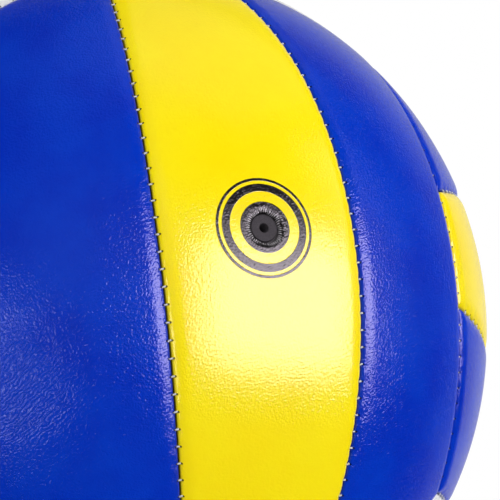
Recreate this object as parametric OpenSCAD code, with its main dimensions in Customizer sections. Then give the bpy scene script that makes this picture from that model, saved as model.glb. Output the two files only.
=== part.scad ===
// Machine-stitched indoor volleyball of 18 panels.
// The origin is the centre of the ball, +Z is up and the valve faces -Y.
// Six faces of three strips: the strips of the front and back faces run along Z,
// those of the left and right faces along Y, those of the top and bottom along X.

/* [Ball] */
// Diameter over the crowns of the panels
ball_d = 210; // [200:1:216]
// Width of a middle panel at its centre, along the curve
middle_w = 51; // [44:1:58]
// Width of the three panels of a face at its centre, along the curve
face_w = 136; // [128:1:142]

/* [Cover] */
// Thickness of the outer leather
leather_t = 1.2; // [0.8:0.1:1.5]
// Depth of the cover, from the crown to the inside of the backing
cover_depth = 5; // [4.6:0.1:6.5]
// Radius with which a panel rolls off to its seam
roll_r = 13; // [12:0.5:18]
// Distance from the seam at which the roll-off is centred
roll_w = 6.5; // [5:0.5:7]
// Gap between the turned-in edges of two panels of one face
seam_gap = 0.3; // [0.2:0.05:0.35]
// Gap between the turned-in edges of two faces
edge_gap = 0.5; // [0.45:0.05:0.6]
// Gap between two layers that lie on each other
layer_gap = 0.15; // [0.1:0.05:0.25]

/* [Stitching] */
// Distance from stitch to stitch along a seam
stitch_pitch = 4; // [3.5:0.5:8]
// Thickness of the thread
thread_d = 0.45; // [0.4:0.05:0.7]
// Radius of the bow of one stitch across the seam
stitch_bow_r = 1.2; // [1:0.1:1.6]
// Slant of a stitch to the square line across the seam
stitch_slant = 8; // [0:1:35]

/* [Bladder and valve] */
// Thickness of the bladder's rubber
bladder_t = 0.9; // [0.6:0.1:1.4]
// Diameter of the hole in the panel over the valve
panel_hole_d = 7.2; // [6.9:0.1:8.2]
// Diameter of the dish in the leather round that hole
dish_d = 13; // [10:0.5:16]
// Depth of the dish at the edge of the hole, below the crown
dish_t = 0.5; // [0.3:0.1:0.8]
// Diameter of the head of the valve plug
plug_head_d = 6.5; // [6:0.1:6.8]
// Thickness of the head of the valve plug
plug_head_t = 2.2; // [1.6:0.1:2.4]
// Diameter of the stem of the valve plug
plug_stem_d = 4.6; // [4:0.1:5]
// Length of the stem of the valve plug
plug_stem_l = 13; // [9:0.5:18]
// Depth of the plug's face below the crown of the panel
plug_recess = 0.9; // [0.7:0.1:1.2]
// Diameter of the hole for the inflating needle
needle_d = 1.8; // [1.4:0.1:2.2]
// Diameter of the dimple that leads the needle in
dimple_d = 2.5; // [2.3:0.1:3.2]
// Diameter of the neck of the valve seat
neck_d = 9.2; // [8.6:0.1:11]
// Diameter of the flange of the valve seat
seat_d = 30; // [24:1:38]
// Thickness of the flange of the valve seat
seat_t = 1.6; // [1.2:0.1:2.4]
// Diameter of the reinforcing patch round the valve
patch_d = 38; // [30:1:42]
// Thickness of the reinforcing patch
patch_t = 0.6; // [0.4:0.1:0.8]

/* [Hidden] */
$fn = 96;
ball_r = ball_d / 2;
reach = 2 * ball_r;

// Angles of the seams, seen from the centre of the ball
inner_angle = middle_w / ball_d * 180 / PI;
face_angle = face_w / ball_d * 180 / PI;
// A seam between two faces is a circle that passes through two corners of the cube
// and through the middle of the face's long side: tilt of its axis and its half angle
corner_share = sqrt(2 / 3);
bulge = 45 - face_angle;
swing = atan(sin(bulge) / (cos(bulge) - corner_share));
ring_tilt = 45 - swing;
ring_angle = acos(corner_share * sin(swing));
flat_angle = 90;

// Roll-off circle: it rises a hair over the crown so that the two surfaces cross cleanly
roll_rise = 0.05;
roll_reach = ball_r + roll_rise - roll_r;
roll_x = sqrt(pow(roll_reach, 2) - pow(roll_w, 2));
roll_angle = asin(roll_w / roll_reach);

// Radii of the layers
inside_r = ball_r - cover_depth;
bladder_r = inside_r - 2 * layer_gap;
bladder_in_r = bladder_r - bladder_t;
backing_inset = leather_t + layer_gap;

// Valve: heights along its axis, from the centre of the ball
plug_top = ball_r - plug_recess;
plug_shoulder = plug_top - plug_head_t;
plug_end = plug_shoulder - plug_stem_l;
neck_top = ball_r - leather_t - 2 * layer_gap;
seat_out_r = bladder_in_r - layer_gap;
seat_in_r = seat_out_r - seat_t;
tube_end = plug_end + layer_gap;
dimple_depth = (dimple_d - needle_d) / 2;
overrun = 1;

// Dish: its sides are a cone from the edge of the hole to the crown at the rim of the dish
dish_edge = sqrt(pow(ball_r, 2) - pow(dish_d / 2, 2));
dish_slope = (dish_d - panel_hole_d) / 2 / (dish_edge - ball_r + dish_t);

// Stitches: the ends of the bow clear the rolled-off leather by the layer gap
thread_sides = 16;
stitch_sweep = 80;
stitch_reach = stitch_bow_r * sin(stitch_sweep / 2);
stitch_rise = stitch_bow_r * (1 - cos(stitch_sweep / 2));
slope_angle = asin((roll_w - stitch_reach) / roll_r);
stitch_end_r = roll_x + roll_r * cos(slope_angle) + (thread_d / 2 + layer_gap) / cos(slope_angle);
stitch_low_r = stitch_end_r - stitch_rise;
// Half length of a seam inside a face, and of a seam between two faces, as angles
inner_a = cos(ring_tilt) * cos(inner_angle);
inner_b = sin(ring_tilt);
inner_end = acos(cos(ring_angle) / norm([inner_a, inner_b])) - atan2(inner_b, inner_a);
edge_end = asin(sqrt(1 / 3) / sin(ring_angle));
corner_margin = 3;

blue = [0.02, 0.12, 0.62];
yellow = [0.98, 0.87, 0.05];
white = [0.93, 0.93, 0.91];

// Each face: its name, the two turns that carry the top face to it, the names of its
// strips from the first side to the last, and the colours of side and middle strips
FACES = [
    ["top", [0, 0, 0], 0, ["front", "middle", "rear"], white, white],
    ["bottom", [0, 0, 0], 180, ["rear", "middle", "front"], white, white],
    ["right", [90, 0, 90], 0, ["lower", "middle", "upper"], blue, yellow],
    ["left", [90, 0, 90], 180, ["upper", "middle", "lower"], blue, yellow],
    ["back", [-90, -90, 0], 0, ["left", "middle", "right"], blue, yellow],
    ["front", [-90, -90, 0], 180, ["right", "middle", "left"], blue, yellow]
];
STRIPS = [-1, 0, 1];
VALVE_FACE = "front";

// Outline beside a seam that runs along the x axis, for a panel below that axis
module rolled_edge(gap, inset) {
    wall = gap / 2 + inset;
    rotate(-roll_angle)
        translate([-reach, -reach])
            square([2 * reach, reach]);
    translate([-reach, -roll_w])
        square([reach + roll_x, roll_w - wall]);
    intersection() {
        translate([roll_x, -roll_w])
            circle(r = roll_r - inset);
        translate([roll_x, -2 * roll_w])
            square([roll_r, 2 * roll_w - wall]);
    }
}

// All that lies on one side of a seam: the seam is a cone of half angle seam_angle about
// +Z with its tip at the centre of the ball, and within is the side that holds the axis
module seam_side(seam_angle, inset, within) {
    gap = seam_angle == flat_angle ? seam_gap : edge_gap;
    rotate_extrude()
        intersection() {
            rotate(90 - seam_angle)
                if (within)
                    mirror([0, 1]) rolled_edge(gap, inset);
                else
                    rolled_edge(gap, inset);
            translate([0, -reach])
                square([reach, 2 * reach]);
        }
}

// Strip of the top face between the radius floor_r and the crown, inset from its top and
// its four sides: strip is -1, 0 or 1 across the face
module strip_form(strip, inset, floor_r) {
    intersection() {
        difference() {
            sphere(r = ball_r - inset);
            sphere(r = floor_r);
        }
        rotate([-(strip == 0 ? 90 + inner_angle : strip * (90 + inner_angle)), 0, 0])
            seam_side(flat_angle, inset, strip != 0);
        rotate([strip == 0 ? 90 + inner_angle : -strip * (90 + ring_tilt), 0, 0])
            seam_side(strip == 0 ? flat_angle : ring_angle, inset, false);
        rotate([0, ring_tilt, 0])
            seam_side(ring_angle, inset, true);
        rotate([0, -ring_tilt, 0])
            seam_side(ring_angle, inset, true);
    }
}

module place(face) {
    rotate(face[1])
        rotate([face[2], 0, 0])
            children();
}

// What the valve's hole and the dish round it take out of the leather
module valve_opening() {
    rotate_extrude()
        polygon([
            [0, 0],
            [panel_hole_d / 2, 0],
            [panel_hole_d / 2, ball_r - dish_t],
            [panel_hole_d / 2 + dish_slope * (dish_t + overrun), ball_r + overrun],
            [0, ball_r + overrun]
        ]);
}

// Leather panel: a tray whose edges roll off and turn in to the seam
module panel(strip, hole) {
    difference() {
        strip_form(strip, 0, inside_r);
        strip_form(strip, leather_t, inside_r - overrun);
        if (hole)
            valve_opening();
    }
}

// Foam and cloth backing that fills the tray
module backing(strip, hole) {
    difference() {
        strip_form(strip, backing_inset, inside_r);
        if (hole)
            cylinder(d = neck_d + 2 * layer_gap, h = reach);
        if (hole)
            intersection() {
                sphere(r = inside_r + patch_t + layer_gap);
                cylinder(d = patch_d + 2 * layer_gap, h = reach);
            }
    }
}

// One bowed stitch across a seam whose direction at this place is y, seen from outside
module stitch() {
    translate([0, 0, stitch_low_r + stitch_bow_r])
        rotate([0, 0, stitch_slant])
            rotate([90, 0, 0])
                rotate([0, 0, -90 - stitch_sweep / 2])
                    rotate_extrude(angle = stitch_sweep)
                        translate([stitch_bow_r, 0])
                            circle(d = thread_d, $fn = thread_sides);
}

// Row of stitches along a ring of half angle ring about +Z, from -half to half degrees
module stitch_row(ring, half) {
    run = 2 * (half - corner_margin);
    count = floor(run * PI / 180 * ball_r * sin(ring) / stitch_pitch);
    for (i = [0 : count])
        rotate([0, 0, run * (i / count - 1 / 2)])
            rotate([0, ring, 0])
                stitch();
}

module face_stitches() {
    for (side = [-1, 1])
        rotate([-side * (90 + inner_angle), 0, 0])
            rotate([0, 0, -side * 90])
                stitch_row(flat_angle, inner_end);
}

module end_stitches() {
    for (end = [-1, 1])
        rotate([0, end * ring_tilt, 0])
            rotate([0, 0, 90 + end * 90])
                stitch_row(ring_angle, edge_end);
}

module bladder() {
    color([0.12, 0.12, 0.12])
        difference() {
            sphere(r = bladder_r);
            sphere(r = bladder_in_r);
            cylinder(d = neck_d + 2 * layer_gap, h = reach);
        }
}

module valve_patch() {
    color([0.85, 0.83, 0.76])
        difference() {
            intersection() {
                sphere(r = inside_r + patch_t);
                cylinder(d = patch_d, h = reach);
            }
            sphere(r = inside_r - layer_gap);
            cylinder(d = neck_d + 2 * layer_gap, h = reach);
        }
}

// Seat: flange inside the bladder, neck out through the cover, tube round the plug's stem
module valve_seat() {
    color([0.16, 0.16, 0.16])
        difference() {
            union() {
                intersection() {
                    sphere(r = seat_out_r);
                    cylinder(d = seat_d, h = reach);
                    difference() {
                        sphere(r = reach);
                        sphere(r = seat_in_r);
                    }
                }
                translate([0, 0, tube_end])
                    cylinder(d = neck_d, h = neck_top - tube_end);
            }
            translate([0, 0, plug_shoulder - layer_gap])
                cylinder(d = plug_head_d + 2 * layer_gap, h = reach);
            translate([0, 0, tube_end - overrun])
                cylinder(d = plug_stem_d + layer_gap, h = reach);
        }
}

module valve_plug() {
    color([0.25, 0.25, 0.24])
        difference() {
            union() {
                translate([0, 0, plug_shoulder])
                    cylinder(d = plug_head_d, h = plug_head_t);
                translate([0, 0, plug_end])
                    cylinder(d = plug_stem_d, h = plug_stem_l + plug_head_t / 2);
            }
            translate([0, 0, plug_end - overrun])
                cylinder(d = needle_d, h = plug_stem_l + plug_head_t + 2 * overrun);
            translate([0, 0, plug_top - dimple_depth])
                cylinder(d1 = needle_d, d2 = dimple_d, h = dimple_depth);
        }
}

for (face = FACES)
    place(face)
        for (i = [0 : 2]) {
            hole = face[0] == VALVE_FACE && STRIPS[i] == 0;
            name = str(face[0], "_", face[3][i]);
            color(STRIPS[i] == 0 ? face[5] : face[4])
                    panel(STRIPS[i], hole);
            color([0.85, 0.83, 0.76])
                    backing(STRIPS[i], hole);
        }
for (face = FACES)
    place(face) {
        color([0.75, 0.77, 0.8])
                face_stitches();
        color([0.75, 0.77, 0.8])
                end_stitches();
    }
place(FACES[5]) {
    bladder();
    valve_patch();
    valve_seat();
    valve_plug();
}
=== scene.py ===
import math

import bpy
import numpy as np
from mathutils import Euler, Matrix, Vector


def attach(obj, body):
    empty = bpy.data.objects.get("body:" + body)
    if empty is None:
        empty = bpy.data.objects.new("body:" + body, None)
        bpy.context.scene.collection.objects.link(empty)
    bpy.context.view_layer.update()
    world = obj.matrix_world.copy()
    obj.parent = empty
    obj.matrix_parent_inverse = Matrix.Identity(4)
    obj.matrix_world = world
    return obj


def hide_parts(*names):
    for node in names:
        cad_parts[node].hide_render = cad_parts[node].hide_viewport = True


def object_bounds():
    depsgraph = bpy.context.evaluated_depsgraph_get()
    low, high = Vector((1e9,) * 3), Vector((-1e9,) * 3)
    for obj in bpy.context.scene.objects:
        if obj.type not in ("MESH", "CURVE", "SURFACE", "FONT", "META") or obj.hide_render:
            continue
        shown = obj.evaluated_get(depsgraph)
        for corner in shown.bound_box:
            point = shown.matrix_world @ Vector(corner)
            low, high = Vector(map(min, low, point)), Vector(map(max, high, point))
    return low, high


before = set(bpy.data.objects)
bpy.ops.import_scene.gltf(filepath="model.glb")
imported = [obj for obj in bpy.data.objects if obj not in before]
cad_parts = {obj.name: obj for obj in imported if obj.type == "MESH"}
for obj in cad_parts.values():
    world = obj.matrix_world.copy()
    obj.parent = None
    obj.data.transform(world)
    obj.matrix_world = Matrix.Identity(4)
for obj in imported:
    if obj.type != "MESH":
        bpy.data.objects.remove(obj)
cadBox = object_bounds()
print("frame loaded with", len(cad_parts), "nodes")

mm = 0.001
ballRadius = (cadBox[1] - cadBox[0]).z / 2 / mm  # the crowns of the panels touch the box
ballCentre = (cadBox[0] + cadBox[1]) / 2

# Form of the cover. Lengths are in mm, and a face is three strips side by side
cover = {
    "middleWidth": 51.0,  # middle strip, along the curve
    "faceWidth": 136.0,  # three strips, along the curve
    "leather": 1.2,
    "depth": 5.0,  # from the crown to the lip of the turned-in edge
    "rollRadius": 7.0,  # a panel rolls off to its seam with this radius
    "rollWidth": 3.5,
    "innerGap": 0.3,  # between two strips of a face
    "edgeGap": 0.5,  # between two faces
    "foldRadius": 0.6,  # tight fold from the rolled edge into the seam
    "foldSteps": 4,
    "flangeSteps": 2,
    "cornerPower": 4,  # how softly two rolled edges meet in a corner
    "waves": 0.07,  # slow rise and fall of the padded leather
    "columns": 184,
    "rows": 50,
    "plainColumns": 150,  # faces away from the camera
    "plainRows": 40,
    "columnEnds": (0.35, 5),  # the grid's end steps against the rest, and over how many they grow
    "rowEnds": (0.3, 6),
    "settleSteps": 50,
}
stitching = {
    "pitch": 4.0,
    "margin": math.radians(3),  # bare end of a seam, seen from the ball's centre
    "slant": math.radians(8),
    "hole": 0.38,  # from the seam to a needle hole
    "thread": 0.5,
    "lift": -0.1,  # thread above the leather
    "dive": 1.1,  # how deep its ends go in
    "plunge": 7,  # the higher, the later they dive
    "strand": 0.14,  # depth of the groove between its two strands, as a share of its radius
    "twist": 4.2,  # turns the strands by so many radians from the middle to an end
    "sides": 8,
    "rings": 13,
    "pull": 0.22,  # how far a stitch draws the edge down
    "pullReach": 1.5,
    "uneven": {"slant": math.radians(7), "lift": 0.05, "reach": 0.07},  # from stitch to stitch
    "seed": 18,
}

# Angles of the seams, in radians, seen from the centre of the ball
innerAngle = cover["middleWidth"] / ballRadius / 2
bulge = math.pi / 4 - cover["faceWidth"] / ballRadius / 2
swing = math.atan(math.sin(bulge) / (math.cos(bulge) - math.sqrt(2 / 3)))
ringTilt = math.pi / 4 - swing
ringAngle = math.acos(math.sqrt(2 / 3) * math.sin(swing))
tiltSin, tiltCos = math.sin(ringTilt), math.cos(ringTilt)

# Each face: the two turns that carry the top face to it, its strips, its side and middle colours
faces = {
    "top": ((0, 0, 0), 0, ("front", "middle", "rear"), "white", "white"),
    "bottom": ((0, 0, 0), 180, ("rear", "middle", "front"), "white", "white"),
    "right": ((90, 0, 90), 0, ("lower", "middle", "upper"), "blue", "yellow"),
    "left": ((90, 0, 90), 180, ("upper", "middle", "lower"), "blue", "yellow"),
    "back": ((-90, -90, 0), 0, ("left", "middle", "right"), "blue", "yellow"),
    "front": ((-90, -90, 0), 180, ("right", "middle", "left"), "blue", "yellow"),
}


def faceTurn(name):
    first, second = faces[name][:2]
    outer = Euler([math.radians(x) for x in first]).to_matrix()
    return np.array(outer @ Euler((math.radians(second), 0, 0)).to_matrix())


def direction(a, t):  # a is the angle along a strip, t the angle across the face
    return np.stack([np.sin(a), np.sin(t) * np.cos(a), np.cos(t) * np.cos(a)], -1)


def stripSides(strip, a, inner, outer):  # lowest and highest t at a
    inside = np.arcsin(np.sin(inner) / np.cos(a))
    if strip == 0:
        return inside - innerAngle, innerAngle - inside
    return innerAngle + inside, ringTilt + np.arcsin(np.cos(ringAngle + outer) / np.cos(a))


def stripEnd(t, outer):  # highest a at t
    across = tiltCos * np.cos(t)
    reach = np.hypot(across, tiltSin)
    return np.arccos(np.cos(ringAngle - outer) / reach) - np.arctan2(tiltSin, across)


def spread(strip, along, across, inset):  # shares of a strip to angles, inset in mm from its seams
    inner = (cover["innerGap"] / 2 + inset) / ballRadius
    outer = (cover["edgeGap"] / 2 + inset) / ballRadius
    a = along * stripEnd(math.pi / 4, outer)  # the shortest stretch of the strip
    for step in range(cover["settleSteps"]):  # the two angles settle on each other
        low, high = stripSides(strip, a, inner, outer)
        t = low + (high - low) * across
        a = along * stripEnd(t, outer)
    return a, t


def stitchRow(half, ring):  # run and number of stitches of a seam of that half length
    run = 2 * (half - stitching["margin"])
    return run, math.floor(run * ballRadius * math.sin(ring) / stitching["pitch"])


innerRow = stitchRow(stripEnd(innerAngle, 0), math.pi / 2)
edgeRow = stitchRow(math.asin(math.sqrt(1 / 3) / math.sin(ringAngle)), ringAngle)


def seamsOf(strip, a, t):  # distance in mm from each seam, and the place along it in stitches
    found = []
    for side in (-1, 1) if strip == 0 else (-1,):
        away = innerAngle - side * t if strip == 0 else t - innerAngle
        found.append((np.arcsin(np.cos(a) * np.sin(away)), a, innerRow))
    if strip:
        away = np.arccos(np.cos(a) * np.sin(t - ringTilt)) - ringAngle
        found.append((away, np.arctan2(np.sin(a), np.cos(a) * np.cos(t - ringTilt)), edgeRow))
    for end in (-1, 1):
        u, v, w = np.moveaxis(direction(a, t), -1, 0)
        away = ringAngle - np.arccos(np.clip(w * tiltCos - end * u * tiltSin, -1, 1))
        found.append((away, np.arctan2(v, end * u * tiltCos + w * tiltSin), edgeRow))
    return [(away * ballRadius, (angle / run + 0.5) * count, count)
            for away, angle, (run, count) in found]


def rollDepth(away):  # how far the leather has rolled off below the crown
    radius, reach = cover["rollRadius"], ballRadius - cover["rollRadius"]
    turn = np.minimum(away / ballRadius - math.asin(cover["rollWidth"] / reach), 0)
    return ballRadius - reach * np.cos(turn) - np.sqrt(radius**2 - (reach * np.sin(turn)) ** 2)


def surface(strip, a, t, turn):  # depth below the crown, distance from the seam, stitches along it
    seams = seamsOf(strip, a, t)
    power = cover["cornerPower"]
    depth = sum(rollDepth(away) ** power for away, place, count in seams) ** (1 / power)
    nearest = np.min([away for away, place, count in seams], 0)
    stitches = np.zeros_like(nearest)
    for away, place, count in seams:
        here = away <= nearest
        stitches = np.where(here, np.clip(place, -0.5, count + 0.5), stitches)
        peak = (0.5 + 0.5 * np.cos(2 * math.pi * place)) ** 2
        peak = np.where((place > -0.5) & (place < count + 0.5), peak, 0)
        depth = depth + stitching["pull"] * peak * np.exp(-((away / stitching["pullReach"]) ** 2))
    spot = direction(a, t) @ turn.T * ballRadius  # the same waves over the whole ball
    x, y, z = np.moveaxis(spot, -1, 0)  # their lengths in mm share no factor, so they don't repeat
    wave = np.sin(x / 7.1 + 1.3 * np.sin(z / 13.7)) * np.sin(z / 8.3 + 0.9) + np.sin(y / 6.3 + x / 17.9)
    calm = np.clip(nearest / cover["rollWidth"], 0, 1)
    return depth + cover["waves"] * calm * (2 + wave) / 2, nearest, stitches


def shares(count, fine, soft):  # count steps from 0 to 1, finer at both ends
    k = np.arange(count)
    steps = 1 - (1 - fine) * (np.exp(-k / soft) + np.exp((k + 1 - count) / soft))
    places = np.concatenate([[0], np.cumsum(steps)])
    return places / places[-1]


class Shell:  # collects the points and faces of one closed piece
    def __init__(self):
        self.points, self.faces, self.values, self.size = [], [], {}, 0

    def add(self, points, **values):  # returns the indices of the new points
        points = points.reshape(-1, 3)
        self.points.append(points)
        for name, value in values.items():
            self.values.setdefault(name, []).append(np.broadcast_to(value, len(points)))
        self.size += len(points)
        return np.arange(self.size - len(points), self.size)

    def grid(self, index, flip=False, keep=None):
        quads = np.stack([index[:-1, :-1], index[1:, :-1], index[1:, 1:], index[:-1, 1:]], -1)
        quads = quads[keep] if keep is not None else quads.reshape(-1, 4)
        self.faces.append(quads[:, ::-1] if flip else quads)

    def chain(self, loops):  # closed loops joined one to the next
        for first, second in zip(loops, loops[1:]):
            after, then = np.roll(first, -1), np.roll(second, -1)
            self.faces.append(np.stack([first, second, then, after], -1))

    def build(self, name, turn, mirrored=False, sharp=50):
        points = np.concatenate(self.points)
        quads = np.concatenate(self.faces)
        used, quads = np.unique(quads, return_inverse=True)
        quads = quads.reshape(-1, 4)
        if mirrored:
            points, quads = points * (1, -1, 1), quads[:, ::-1]
        corners = [[at for k, at in enumerate(quad) if at != quad[k - 1]] for quad in quads.tolist()]
        mesh = bpy.data.meshes.new(name)
        mesh.from_pydata((points[used] @ turn.T * mm).tolist(), [], corners)
        for label, parts in self.values.items():
            layer = mesh.attributes.new(label, "FLOAT", "POINT")
            layer.data.foreach_set("value", np.concatenate(parts)[used].astype(np.float32))
        mesh.shade_smooth()
        mesh.set_sharp_from_angle(angle=math.radians(sharp))
        piece = bpy.data.objects.new(name, mesh)
        bpy.context.scene.collection.objects.link(piece)
        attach(piece, "root")
        return piece


def border(index):  # the grid's outer loop, anticlockwise seen from outside the ball
    return np.concatenate([index[:, 0], index[-1, 1:], index[-2::-1, -1], index[0, -2:0:-1]])


valve = {
    "hole": 3.6,  # radius of the hole in the leather
    "rim": 0.5,  # the hole's edge turns down with this radius
    "rimSteps": 4,
    "block": 17.0,  # the grid of the panel gives way to rings inside this distance
    "rings": [15.6, 14.5, 13.4, 12.3, 11.2, 10.1, 9.1, 8.2, 7.4,
              6.8, 6.3, 5.9, 5.5, 5.15, 4.85, 4.6, 4.35],
    "blendRings": 4,  # the square block has turned round after so many
    "dish": 0.26,  # depth of the dish round the hole
    "dishReach": 5.1,
    "lean": (-0.14, -0.22),  # the hole sits a little off the plug
    "leanReach": 6,  # from the hole's edge to where the rings no longer lean
    "puckers": 23,
    "pucker": 0.08,
}


def valveForm(spot):  # extra depth round the valve's hole, for directions in the face's own axes
    far = np.arccos(np.clip(spot[..., 2], -1, 1)) * ballRadius
    angle = np.arctan2(spot[..., 1], spot[..., 0])
    inside = np.clip((valve["dishReach"] - far) / (valve["dishReach"] - valve["hole"]), 0, 1)
    fold = np.sin(angle * valve["puckers"] + 1.7 * np.sin(angle * 4 + 0.6))  # not evenly spaced
    return valve["dish"] * inside**2 * (3 - 2 * inside) + valve["pucker"] * inside * (1 + fold)


def sheetWithHole(shell, index, spots, window, down, place, sunk=0):
    # the middle of the grid gives way to rings that run in to the valve's hole
    keep = np.ones((index.shape[0] - 1, index.shape[1] - 1), bool)
    keep[tuple(slice(part.start, part.stop - 1) for part in window)] = False
    shell.grid(index, down, keep)
    loops = [border(index[window])]
    start = border(spots[window])
    rho = np.arccos(start[:, 2]) * ballRadius
    phi = np.arctan2(start[:, 1], start[:, 0])
    rim, blend = valve["rim"], valve["blendRings"]
    plan = [(min(1, (k + 1) / blend), radius, 0) for k, radius in enumerate(valve["rings"])]
    for step in range(1, valve["rimSteps"] + 1):
        bend = math.pi / 2 * step / valve["rimSteps"]
        plan.append((1, valve["hole"] + rim * (1 - math.sin(bend)), rim * (1 - math.cos(bend))))
    lean = np.array(valve["lean"]) / ballRadius
    for share, radius, extra in plan:
        far = (rho * (1 - share) + radius * share) / ballRadius
        shift = lean * max(0, 1 - (radius - valve["hole"]) / valve["leanReach"])
        flat = np.stack([np.sin(far) * np.cos(phi), np.sin(far) * np.sin(phi)], -1) + shift
        spot = np.concatenate([flat, np.sqrt(1 - (flat**2).sum(-1, keepdims=True))], -1)
        loops.append(place(spot, 0 if down else extra, sunk))
    shell.chain(loops if down else [loop[::-1] for loop in loops])
    return loops[-1]


def panelPiece(face, number):
    strip = number - 1
    turn = faceTurn(face)
    name = f"{face}_{faces[face][2][number]}"
    seen = face in ("front", "right")
    hole = face == "front" and strip == 0
    columns = cover["columns" if seen else "plainColumns"]
    rows = cover["rows" if seen else "plainRows"]
    along, across = 2 * shares(columns, *cover["columnEnds"]) - 1, shares(rows, *cover["rowEnds"])
    along, across = np.meshgrid(along, across, indexing="ij")
    edgeAlong, edgeAcross = border(along), border(across)
    own = turn * (1, -1, 1) if strip < 0 else turn  # the first strip is the last one, mirrored
    kind = abs(strip)
    shell = Shell()

    def layer(alongShare, acrossShare, inset, extra, sunk=0.0):  # points at a depth below the crown
        a, t = spread(kind, alongShare, acrossShare, inset)
        depth, away, stitches = surface(kind, a, t, own)
        spot = direction(a, t)
        if hole:
            depth = depth + valveForm(spot)
        index = shell.add(spot * (ballRadius - depth - extra - sunk)[..., None],
                          seamDistance=away.reshape(-1), stitches=stitches.reshape(-1))
        return index.reshape(alongShare.shape), spot, depth + extra + sunk

    def around(spot, extra, sunk):  # a ring round the valve
        a, t = np.arcsin(spot[:, 0]), np.arctan2(spot[:, 1], spot[:, 2])
        depth, away, stitches = surface(kind, a, t, own)
        return shell.add(spot * (ballRadius - depth - valveForm(spot) - extra - sunk)[:, None],
                         seamDistance=away, stitches=stitches)

    fold, leather = cover["foldRadius"], cover["leather"]
    outer, outerSpots, _ = layer(along, across, fold, 0)
    inner, innerSpots, innerDepth = layer(along, across, leather, 0, leather)
    loops = [border(outer)]
    for step in range(1, cover["foldSteps"] + 1):
        bend = math.pi / 2 * step / cover["foldSteps"]
        inset, extra = fold * (1 - math.sin(bend)), fold * (1 - math.cos(bend))
        ring, spot, depth = layer(edgeAlong, edgeAcross, inset, extra)
        loops.append(ring)
    for step in range(1, cover["flangeSteps"] + 1):
        share = step / cover["flangeSteps"]
        radius = ballRadius - depth * (1 - share) - cover["depth"] * share
        loops.append(shell.add(spot * radius[:, None], seamDistance=0.0, stitches=0.5))
    lipSpot = border(innerSpots)
    for step in range(cover["flangeSteps"]):
        share = step / cover["flangeSteps"]
        radius = ballRadius - cover["depth"] * (1 - share) - border(innerDepth) * share
        loops.append(shell.add(lipSpot * radius[:, None], seamDistance=0.0, stitches=0.5))
    loops.append(border(inner))
    shell.chain(loops)
    if hole:
        far = np.arccos(outerSpots[..., 2]) * ballRadius > valve["block"]
        middle = columns // 2, rows // 2
        reach = int(np.argmax(far[middle[0] :, middle[1]])), int(np.argmax(far[middle[0], middle[1] :]))
        window = tuple(slice(m - r, m + r + 1) for m, r in zip(middle, reach))
        top = sheetWithHole(shell, outer, outerSpots, window, False, around)
        under = sheetWithHole(shell, inner, innerSpots, window, True, around, leather)
        shell.chain([under, top])
    else:
        shell.grid(outer)
        shell.grid(inner, flip=True)
    piece = shell.build(f"{name}_leather", turn, mirrored=strip < 0)
    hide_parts(f"{name}_panel")
    return piece


def seamFrames(axis, centre, ring, row):  # place, way across and way along of each stitch of a seam
    axis, centre = np.array(axis), np.array(centre)
    side = np.cross(axis, centre)
    run, count = row
    for k in range(count + 1):
        angle = run * (k / count - 0.5)
        level = math.cos(angle) * centre + math.sin(angle) * side
        spot = math.cos(ring) * axis + math.sin(ring) * level
        across = math.cos(ring) * level - math.sin(ring) * axis
        yield spot, across, np.cross(spot, across)


chance = np.random.default_rng(stitching["seed"])


def threadPiece(name, face, seams):
    shell = Shell()
    radius, sides, rings = stitching["thread"] / 2, stitching["sides"], stitching["rings"]
    course = np.linspace(-1, 1, rings)[:, None]
    reach = stitching["hole"] * np.sin(course * math.pi / 2)
    level = ballRadius - rollDepth(stitching["hole"]) - stitching["pull"] + stitching["lift"]
    uneven = stitching["uneven"]
    dive = stitching["dive"] * np.abs(course) ** stitching["plunge"]
    about = 2 * math.pi * np.arange(sides)[None, :] / sides + 0 * course
    strand = stitching["strand"]
    girth = radius * (1 - strand + strand * np.cos(2 * (about - stitching["twist"] * course)))
    for seam in seams:
        for spot, across, way in seamFrames(*seam):
            slant = stitching["slant"] + chance.normal(0, uneven["slant"])
            across = math.cos(slant) * across + math.sin(slant) * way
            height = level + chance.normal(0, uneven["lift"]) - dive
            line = spot * height + across * reach * (1 + chance.normal(0, uneven["reach"]))
            tangent = np.gradient(line, axis=0)
            tangent /= np.linalg.norm(tangent, axis=1)[:, None]
            beside = np.cross(spot, across)
            above = np.cross(tangent, beside)[:, None]
            ring = np.cos(about)[..., None] * beside + np.sin(about)[..., None] * above
            index = shell.add(line[:, None] + girth[..., None] * ring).reshape(rings, sides)
            first, last = (np.repeat(shell.add(line[k]), sides) for k in (0, -1))
            shell.chain([last, *index[::-1], first])
    return shell.build(name, faceTurn(face), sharp=80)


def lathe(name, profile, segments):  # closed profile of (radius, height) turned about the valve's axis
    shell = Shell()
    angle = 2 * math.pi * np.arange(segments) / segments
    loops = []
    for radius, height in profile + profile[:1]:
        ring = np.stack([radius * np.cos(angle), radius * np.sin(angle), np.full(segments, height)], -1)
        loops.append(shell.add(ring) if len(loops) < len(profile) else loops[0])
    shell.chain(loops[::-1])
    return shell.build(name, faceTurn("front"), sharp=35)


def corner(centre, radius, start, end, steps=4):  # points of a round corner, angles in degrees
    angles = [math.radians(start + (end - start) * k / steps) for k in range(steps + 1)]
    return [(centre[0] + radius * math.cos(x), centre[1] + radius * math.sin(x)) for x in angles]


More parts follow.
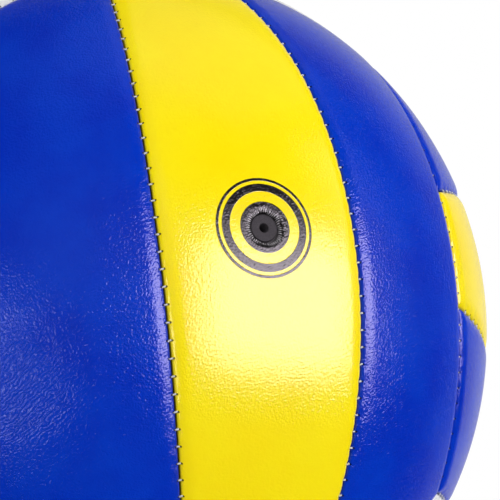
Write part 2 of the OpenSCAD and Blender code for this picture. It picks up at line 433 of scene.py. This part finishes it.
class Wire:  # a socket that can stand in sums with numbers and other wires
    def __init__(self, nodes, socket):
        self.nodes, self.socket = nodes, socket

    def maths(self, operation, *others):
        return self.nodes.make("Math", {"operation": operation}, [self, *others])

    def __add__(self, other):
        return self.maths("ADD", other)

    def __mul__(self, other):
        return self.maths("MULTIPLY", other)

    def __sub__(self, other):
        return self.maths("SUBTRACT", other)

    def __truediv__(self, other):
        return self.maths("DIVIDE", other)

    def __pow__(self, other):
        return self.maths("POWER", other)

    def reflected(self, operation, other):  # the other value comes first
        return self.nodes.make("Math", {"operation": operation}, [other, self])

    def __rsub__(self, other):
        return self.reflected("SUBTRACT", other)

    def __rtruediv__(self, other):
        return self.reflected("DIVIDE", other)

    def __rpow__(self, other):
        return self.reflected("POWER", other)

    __radd__, __rmul__ = __add__, __mul__

    def rise(self, low, high):  # 0 below low, 1 above high, smooth between them
        inputs = {"Value": self, "From Min": low, "From Max": high}
        return self.nodes.make("MapRange", {"interpolation_type": "SMOOTHSTEP"}, inputs)

    def band(self, low, high, soft):  # 1 between low and high
        return self.rise(low - soft, low + soft) * (1 - self.rise(high - soft, high + soft))


class Nodes:  # node tree of a material or of the world
    def __init__(self, owner):
        owner.use_nodes = True
        self.tree = owner.node_tree
        self.tree.nodes.clear()

    def feed(self, socket, value):
        if isinstance(value, Wire):
            self.tree.links.new(value.socket, socket)
        else:
            socket.default_value = value

    def make(self, kind, settings=None, inputs=None, out=0):
        node = self.tree.nodes.new("ShaderNode" + kind)
        for name, value in (settings or {}).items():
            setattr(node, name, value)
        pairs = inputs.items() if isinstance(inputs, dict) else enumerate(inputs or [])
        for name, value in pairs:
            self.feed(node.inputs[name], value)
        return Wire(self, node.outputs[out])

    def vector(self, operation, *values, out=0):
        return self.make("VectorMath", {"operation": operation}, values, out)

    def scaled(self, place, factor):
        return self.make("VectorMath", {"operation": "SCALE"}, {"Vector": place, "Scale": factor})

    def blend(self, share, first, second):  # colours
        return self.make("Mix", {"data_type": "RGBA"}, {0: share, 6: first, 7: second}, 2)

    def noise(self, place, scale, detail=2.0, roughness=0.5):
        inputs = {"Vector": place, "Scale": scale, "Detail": detail, "Roughness": roughness}
        return self.make("TexNoise", {}, inputs)

    def cells(self, place, scale):
        inputs = {"Vector": place, "Scale": scale}
        return self.make("TexVoronoi", {"feature": "SMOOTH_F1"}, inputs, "Distance")


class Finish(Nodes):  # a material with one Principled shader
    def __init__(self, name, **constants):
        self.material = bpy.data.materials.new(name)
        super().__init__(self.material)
        self.shader = self.tree.nodes.new("ShaderNodeBsdfPrincipled")
        output = self.tree.nodes.new("ShaderNodeOutputMaterial")
        self.tree.links.new(self.shader.outputs[0], output.inputs[0])
        for label, value in constants.items():
            self.set(label.replace("_", " "), value)

    def set(self, label, value):
        self.feed(self.shader.inputs[label], value)

    def place(self):  # mm in the ball's own frame
        return self.scaled(self.make("TexCoord", {}, {}, "Object"), 1 / mm)

    def axes(self, place):
        return [self.make("SeparateXYZ", {}, [place], axis) for axis in ("X", "Y", "Z")]

    def attribute(self, label):
        return self.make("Attribute", {"attribute_name": label}, {}, "Fac")

    def relief(self, height, strength, distance):  # height is 0 to 1, distance in mm
        inputs = {"Strength": strength, "Distance": distance * mm, "Height": height}
        self.set("Normal", self.make("Bump", {}, inputs))


def paint(red, green, blue):  # a screen colour, 0 to 255, as the renderer's own
    parts = [x / 255 for x in (red, green, blue)]
    return (*(x / 12.92 if x <= 0.04045 else ((x + 0.055) / 1.055) ** 2.4 for x in parts), 1)


leatherLook = {
    "blue": {"light": paint(0, 58, 196), "dark": paint(0, 38, 178),
             "rough": 0.12, "shine": 0.36, "grain": 1.0},
    "yellow": {"light": paint(255, 234, 12), "dark": paint(254, 225, 2),
               "rough": 0.14, "shine": 0.5, "grain": 0.42},
    "white": {"light": paint(240, 240, 240), "dark": paint(229, 229, 230),
              "rough": 0.18, "shine": 0.5, "grain": 0.6},
}
grainLook = {  # of all leather. Scales are per mm
    "way": (0.68, 0.27, 0.68),  # the grain is longer this way
    "stretch": 0.35,
    "pores": 1.9,
    "poreDepth": 0.7,
    "fine": 2.6,
    "fineDetail": (1.0, 0.4),
    "fineHeight": 1.3,
    "roughening": 0.05,  # the fine grain makes it rougher by this
    "mottle": 0.36,
    "mottleHeight": 0.15,
    "cloud": 0.055,
    "cloudEdge": (0.3, 0.7),
    "relief": (0.7, 0.14),  # strength, and depth in mm
}
seamLook = {  # the leather beside a seam, in mm: painted shade into its groove and in the needle holes
    # painted shade into the seam's groove: where it fades in, and by how much the colour darkens
    "reach": (-0.1, 0.5),
    "shade": 0.4,
    "needleOut": 0.18,  # from the end of a stitch to the middle of its hole
    "needleEdge": (0.16, 0.34),
    # painted shade in the needle holes: their colour darkens by this share
    "needlePaintedShade": 0.9,
    "needleDepth": 2.5,
}
foldLook = {  # a patch of fine folds in the blue leather, in mm of the ball's own frame
    "middle": (-55, -83, -29),
    "reach": (7.65, 17),  # they fade out between these distances
    "way": (0.62, -0.08, -0.77),  # across the folds
    "pace": 1.2,  # folds per mm
    "wander": 3.4,
    "broken": (0.3, 0.6),  # the fine grain breaks them up
    "height": 0.55,
}


def foldRelief(f, place, fine, mottle):
    span = f.vector("DISTANCE", place, foldLook["middle"], out="Value")
    across = f.vector("DOT_PRODUCT", place, foldLook["way"], out="Value")
    waves = ((across * foldLook["pace"] + mottle * foldLook["wander"]) * 2 * math.pi).maths("SINE")
    patch = 1 - span.rise(*foldLook["reach"])
    return waves * patch * fine.rise(*foldLook["broken"]) * foldLook["height"]


printLook = {
    "ink": paint(14, 12, 13),
    # painted glints: the light grey of the flecks where the sheen catches the ribs round the plug
    "paintedGlints": paint(206, 200, 206),
    "rings": [(11.34, 12.02), (8.68, 10.59), (0.0, 6.18)],  # from the valve's axis, in mm
    "soft": 0.09,
    "ragged": 0.12,  # the grain frays the rings' edges by this
    "front": (-60, -90),  # only the valve's side of the ball is printed, along Y
    "ribs": 50,  # radial ribs in the leather beside the plug
    "ribWander": 7,  # in radians of their wave
    "ribHeight": 0.8,
    "ribReach": (4.5, 5.6),
    "streak": (5, 1.2),  # how fast the wander changes round the valve, and away from it
    "sway": 1.8,  # the band of painted glints moves in and out by this, round the valve
    "swayPace": 1.6,
    "paintedGlintBand": (4.5, 5.3, 0.3),  # painted glints on the ribs there: from, to and soft edge
    "paintedGlintRibs": (0.5, 0.9),
    "paintedGlintShare": 0.7,
    "inkHeight": 0.6,
}


def printedRings(f, place, fine, shade, height):  # colour and height with the print on them, and with painted glints on the ribs round the plug
    x, y, z = f.axes(place)
    far = (x * x + z * z).maths("SQRT")
    ragged = far + (fine - 0.5) * printLook["ragged"]
    soft = printLook["soft"]
    ink = None
    for low, high in printLook["rings"]:
        ring = ragged.band(low, high, soft) if low else 1 - ragged.rise(high - soft, high + soft)
        ink = ring if ink is None else ink.maths("MAXIMUM", ring)
    ink = ink * y.rise(*printLook["front"])
    shade = f.blend(ink, shade, printLook["ink"])
    streak, drift = printLook["streak"]
    streaks = f.make("CombineXYZ", {}, [x / far * streak, far * drift, z / far * streak])
    wander = f.noise(streaks, 1.0, 1.0, 0.5) * printLook["ribWander"]
    ribs = (x.maths("ARCTAN2", z) * printLook["ribs"] + wander).maths("SINE") * 0.5 + 0.5
    pace = printLook["swayPace"]
    sway = f.noise(f.make("CombineXYZ", {}, [x / far * pace, 0.0, z / far * pace]), 1.0, 1.0)
    # painted glints: light flecks on the ribs round the plug, standing in for their sheen
    paintedGlints = (far + sway * printLook["sway"]).band(*printLook["paintedGlintBand"])
    paintedGlints = paintedGlints * ribs.rise(*printLook["paintedGlintRibs"])
    shade = f.blend(paintedGlints * printLook["paintedGlintShare"], shade, printLook["paintedGlints"])
    ribbed = ribs * printLook["ribHeight"] * (1 - far.rise(*printLook["ribReach"]))
    return shade, height + ribbed + ink * fine * printLook["inkHeight"]


def leatherFinish(colour, printed=False):
    look = leatherLook[colour]
    f = Finish(f"{colour}_{'printed_' if printed else ''}leather")
    f.set("Specular IOR Level", look["shine"])
    place = f.place()
    along = f.vector("DOT_PRODUCT", place, grainLook["way"], out="Value")
    drawn = f.vector("SUBTRACT", place, f.scaled(grainLook["way"], along * grainLook["stretch"]))
    pores = f.cells(drawn, grainLook["pores"])
    fine = f.noise(drawn, grainLook["fine"], *grainLook["fineDetail"])
    cloud = f.noise(place, grainLook["cloud"])
    mottle = f.noise(place, grainLook["mottle"])
    away, stitches = f.attribute("seamDistance"), f.attribute("stitches")
    beside = ((stitches + 0.5).maths("FRACT") - 0.5) * stitching["pitch"]
    outside = away - stitching["hole"] - seamLook["needleOut"]
    # needle holes: sunk by the relief, and darkened with painted shade
    needle = 1 - (outside**2 + beside * beside).maths("SQRT").rise(*seamLook["needleEdge"])
    tint = cloud.rise(*grainLook["cloudEdge"]) * 0.5 + mottle * 0.5
    shade = f.blend(tint, look["dark"], look["light"])
    # painted shade: the colour darkens into the seam's groove and in the needle holes
    paintedSeamShade = 1 - (1 - away.rise(*seamLook["reach"])) * seamLook["shade"]
    paintedSeamShade = paintedSeamShade * (1 - needle * seamLook["needlePaintedShade"])
    paintedShadeColour = f.make("CombineColor", {}, [paintedSeamShade, paintedSeamShade, paintedSeamShade])
    multiply = {"data_type": "RGBA", "blend_type": "MULTIPLY"}
    shade = f.make("Mix", multiply, {0: 1.0, 6: shade, 7: paintedShadeColour}, 2)
    height = (fine * grainLook["fineHeight"] - pores * grainLook["poreDepth"]) * look["grain"]
    height = height + mottle * grainLook["mottleHeight"] - needle * seamLook["needleDepth"]
    if printed:
        shade, height = printedRings(f, place, fine, shade, height)
    if colour == "blue":
        height = height + foldRelief(f, place, fine, mottle)
    f.set("Base Color", shade)
    f.set("Roughness", look["rough"] + fine * grainLook["roughening"])
    f.relief(height, *grainLook["relief"])
    return f.material


threadLook = {
    "dark": paint(168, 170, 174),
    "light": paint(234, 235, 236),
    "rough": 0.7,
    "fibres": 4.5,  # per mm
    "fibreDetail": (3.0, 0.6),
    "spread": (0.3, 0.7),
    "relief": (0.5, 0.08),
}


def threadFinish():
    f = Finish("thread", Roughness=threadLook["rough"])
    fibres = f.noise(f.place(), threadLook["fibres"], *threadLook["fibreDetail"])
    tint = fibres.rise(*threadLook["spread"])
    f.set("Base Color", f.blend(tint, threadLook["dark"], threadLook["light"]))
    f.relief(fibres, *threadLook["relief"])
    return f.material


rubberLook = {
    "grit": 3.2,  # per mm
    "gritDetail": (3.0, 0.65),
    "spread": (0.3, 0.75),
    "roughening": 0.15,
    "relief": (0.25, 0.08),
}


def rubberFinish(name, dark, light, rough, shine=0.5):
    f = Finish(name, Specular_IOR_Level=shine)
    grit = f.noise(f.place(), rubberLook["grit"], *rubberLook["gritDetail"])
    f.set("Base Color", f.blend(grit.rise(*rubberLook["spread"]), dark, light))
    f.set("Roughness", rough + grit * rubberLook["roughening"])
    f.relief(grit, *rubberLook["relief"])
    return f.material


clothLook = {
    "rough": 0.9,
    "weave": 5.2,  # radians of its wave per mm
    "weaveShade": 0.15,
    "cloud": 0.4,
    "cloudShade": 0.7,
    "plainShade": 0.1,
    "relief": (0.4, 0.1),
}


def clothFinish(name, dark, light):
    f = Finish(name, Roughness=clothLook["rough"])
    place = f.place()
    x, y, z = f.axes(place)
    weave = ((x + y) * clothLook["weave"]).maths("SINE") * ((z - y) * clothLook["weave"]).maths("SINE")
    cloud = f.noise(place, clothLook["cloud"], 3.0)
    shade = cloud * clothLook["cloudShade"] + weave * clothLook["weaveShade"] + clothLook["plainShade"]
    f.set("Base Color", f.blend(shade, dark, light))
    f.relief(weave, *clothLook["relief"])
    return f.material


finishes = {colour: leatherFinish(colour) for colour in leatherLook}
finishes["printed"] = leatherFinish("yellow", printed=True)
for face, (*_, sideColour, middleColour) in faces.items():
    for number in range(3):
        piece = panelPiece(face, number)
        colour = middleColour if number == 1 else sideColour
        printed = face == "front" and number == 1
        piece.data.materials.append(finishes["printed" if printed else colour])
print("leather panels made")

thread = threadFinish()
innerSin, innerCos = math.sin(innerAngle), math.cos(innerAngle)
faceSeams, endSeams = [], []
for side in (-1, 1):  # axis of each seam's circle, its middle, its angle from the axis and its stitches
    axis, middle = (0, side * innerCos, -innerSin), (0, side * innerSin, innerCos)
    faceSeams.append((axis, middle, math.pi / 2, innerRow))
    axis, middle = (side * tiltSin, 0, tiltCos), (-side * tiltCos, 0, tiltSin)
    endSeams.append((axis, middle, ringAngle, edgeRow))
for face in faces:
    for kind, seams in (("face", faceSeams), ("end", endSeams)):
        piece = threadPiece(f"{face}_{kind}_thread", face, seams)
        piece.data.materials.append(thread)
        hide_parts(f"{face}_{kind}_stitches")
print("stitches made")

plug = {  # heights are from the ball's centre, in mm
    "head": 3.25,
    "top": 104.1,
    "thick": 2.2,
    "headRound": 0.22,
    "underRound": 0.15,
    "stem": 2.3,
    "end": 88.9,
    "endRound": 0.3,
    "hole": 0.9,
    "dimple": 1.13,  # the hole is wider at the top
    "dimpleRound": 0.12,
    "dimpleTaper": 0.08,
    "dimpleDepth": 1.3,
    "coneDepth": 1.9,
    "segments": 64,
    "dark": paint(50, 47, 51),
    "light": paint(70, 66, 71),
    "rough": 0.6,
    "shine": 0.12,
}


def rounded(radius, height, size, start):  # a corner there, from the angle start on
    across = radius + size if start == 90 else radius - size
    level = height + size if start < 0 else height - size
    return corner((across, level), size, start, start + 90)


under = plug["top"] - plug["thick"]
profile = [(plug["hole"], plug["end"])]
profile += rounded(plug["stem"], plug["end"], plug["endRound"], -90)
profile += [(plug["stem"], under)]
profile += rounded(plug["head"], under, plug["underRound"], -90)
profile += rounded(plug["head"], plug["top"], plug["headRound"], 0)
profile += rounded(plug["dimple"], plug["top"], plug["dimpleRound"], 90)
profile += [(plug["dimple"] - plug["dimpleTaper"], plug["top"] - plug["dimpleDepth"])]
profile += [(plug["hole"], plug["top"] - plug["coneDepth"])]
plugPiece = lathe("valve_plug_rubber", profile, plug["segments"])
plugFinish = rubberFinish("plug_rubber", plug["dark"], plug["light"], plug["rough"], plug["shine"])
plugPiece.data.materials.append(plugFinish)
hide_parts("valve_plug")

blackRubber = rubberFinish("black_rubber", paint(16, 16, 17), paint(30, 30, 31), 0.55)
foam = clothFinish("foam_backing", paint(196, 188, 166), paint(226, 220, 204))
patchCloth = clothFinish("patch_cloth", paint(150, 146, 132), paint(206, 202, 190))
for name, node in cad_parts.items():
    if node.hide_render:
        continue
    look = foam if name.endswith("_backing") else patchCloth if name == "valve_patch" else blackRubber
    node.data.materials.clear()
    node.data.materials.append(look)
print("valve and inner pieces finished")

# Stage: a plain pale floor, a white surround for the camera and soft lamps
floorLook = {
    "radius": 1.35,  # in m. It ends before the lamps do, so no part of it is dark
    "steps": 96,
    "fade": (650, 1300),  # it passes into the white surround there, in mm from the middle
    "dark": paint(228, 228, 228),
    "light": paint(236, 236, 236),
    "cloud": 0.004,
    "rough": 0.9,
}
floorRim = []
for step in range(floorLook["steps"]):
    angle = 2 * math.pi * step / floorLook["steps"]
    x, y = floorLook["radius"] * math.cos(angle), floorLook["radius"] * math.sin(angle)
    floorRim.append((x, y, cadBox[0].z))
floorMesh = bpy.data.meshes.new("floor")
floorMesh.from_pydata(floorRim, [], [range(floorLook["steps"])])
floor = bpy.data.objects.new("floor", floorMesh)
bpy.context.scene.collection.objects.link(floor)
floorFinish = Finish("pale_floor", Roughness=floorLook["rough"], Specular_IOR_Level=0.0)
floorPlace = floorFinish.place()
floorCloud = floorFinish.noise(floorPlace, floorLook["cloud"])
floorFinish.set("Base Color", floorFinish.blend(floorCloud, floorLook["dark"], floorLook["light"]))
fromMiddle = floorFinish.vector("LENGTH", floorPlace, out="Value")
floorFinish.set("Alpha", 1 - fromMiddle.rise(*floorLook["fade"]))
floorMesh.materials.append(floorFinish.material)

studio = {
    "behind": 0.55,  # what gloss shows of the pale room behind the ball
    "wayBehind": (0.42, 0.88, 0.22),
    "edge": (0.5, 0.95),  # cosines of the angles from that way between which it fades
}
world = bpy.data.worlds.new("studio")
bpy.context.scene.world = world
sky = Nodes(world)
byCamera = sky.make("LightPath", {}, {}, "Is Camera Ray")
byGloss = sky.make("LightPath", {}, {}, "Is Glossy Ray")
byGloss = byGloss.maths("MAXIMUM", sky.make("LightPath", {}, {}, "Is Transmission Ray"))
ray = sky.make("TexCoord", {}, {}, "Generated")
back = sky.vector("DOT_PRODUCT", ray, studio["wayBehind"], out="Value").rise(*studio["edge"])
white = byCamera + (1 - byCamera) * byGloss * back * studio["behind"]
surround = sky.make("Background", {}, {"Color": (1, 1, 1, 1), "Strength": white})
sky.tree.links.new(surround.socket, sky.tree.nodes.new("ShaderNodeOutputWorld").inputs[0])

# Lamps: azimuth from the valve's side towards +X, distance and size in m, power in W. Those unseen
# by diffuse surfaces only put a sheen on the leather, and those unseen by gloss only give even light
lamps = {
    "gloss_softbox": {"azimuth": 26, "elevation": -6, "distance": 1.0, "size": (0.86, 0.6),
                      "power": 17.5, "unseen": "diffuse", "colour": (1.0, 0.88, 1.0)},
    "side_softbox": {"azimuth": 52, "elevation": 64, "distance": 1.3, "size": (1.0, 1.0), "power": 0.95},
    "right_panel": {"azimuth": 55, "elevation": 21, "distance": 1.0, "size": (0.28, 0.44),
                    "power": 0.4, "unseen": "diffuse"},
    "left_strip": {"azimuth": -61, "elevation": -12, "distance": 1.0, "size": (0.34, 0.4),
                   "power": 2.5, "unseen": "diffuse"},
    "left_softbox": {"azimuth": -30, "elevation": 14, "distance": 1.4, "size": (1.0, 1.0),
                     "power": 5, "unseen": "glossy"},
    "right_softbox": {"azimuth": 65, "elevation": -10, "distance": 1.4, "size": (1.0, 1.0),
                      "power": 7, "unseen": "glossy"},
    "top_softbox": {"azimuth": -20, "elevation": 60, "distance": 1.4, "size": (1.0, 1.0),
                    "power": 4, "unseen": "glossy"},
}
tent = {  # the even light of the studio, from all round, as (azimuth, elevation, power)
    "distance": 1.5,
    "size": (1.6, 1.6),
    "walls": [(-150, 0, 4), (-90, 10, 2), (-30, 10, 4.5), (25, -12, 13.5), (90, 0, 12), (150, 0, 5.5),
              (0, 85, 6.5), (60, -60, 10)],
}
for number, (azimuth, elevation, power) in enumerate(tent["walls"]):
    lamps[f"tent_{number}"] = {"azimuth": azimuth, "elevation": elevation, "distance": tent["distance"],
                               "size": tent["size"], "power": power, "unseen": "glossy"}
for name, lamp in lamps.items():
    light = bpy.data.lights.new(name, "AREA")
    light.shape = "RECTANGLE"
    light.size, light.size_y = lamp["size"]
    light.energy = lamp["power"]
    light.color = lamp.get("colour", (1, 1, 1))
    holder = bpy.data.objects.new(name, light)
    azimuth, elevation = math.radians(lamp["azimuth"]), math.radians(lamp["elevation"])
    level = math.cos(elevation)
    way = Vector((math.sin(azimuth) * level, -math.cos(azimuth) * level, math.sin(elevation)))
    holder.location = ballCentre + way * lamp["distance"]
    holder.rotation_euler = (-way).to_track_quat("-Z", "Y").to_euler()
    holder.visible_camera = False
    if "unseen" in lamp:
        setattr(holder, "visible_" + lamp["unseen"], False)
    bpy.context.scene.collection.objects.link(holder)
floor.visible_shadow = floor.visible_glossy = False  # the low softbox shines past the floor's edge

view = {
    "place": (-0.15353, -0.41558, -0.09103),
    "turn": (104.105, 8.041, -23.582),
    "lens": 112.85,
    "sensor": 36,
    "clip": (0.01, 50),
}
cameraData = bpy.data.cameras.new("camera")
cameraData.lens, cameraData.sensor_width = view["lens"], view["sensor"]
cameraData.clip_start, cameraData.clip_end = view["clip"]
camera = bpy.data.objects.new("camera", cameraData)
camera.location = view["place"]
camera.rotation_euler = [math.radians(x) for x in view["turn"]]
bpy.context.scene.collection.objects.link(camera)
bpy.context.scene.camera = camera
bpy.context.scene.view_settings.view_transform = "Standard"
print("stage, lamps and camera set")
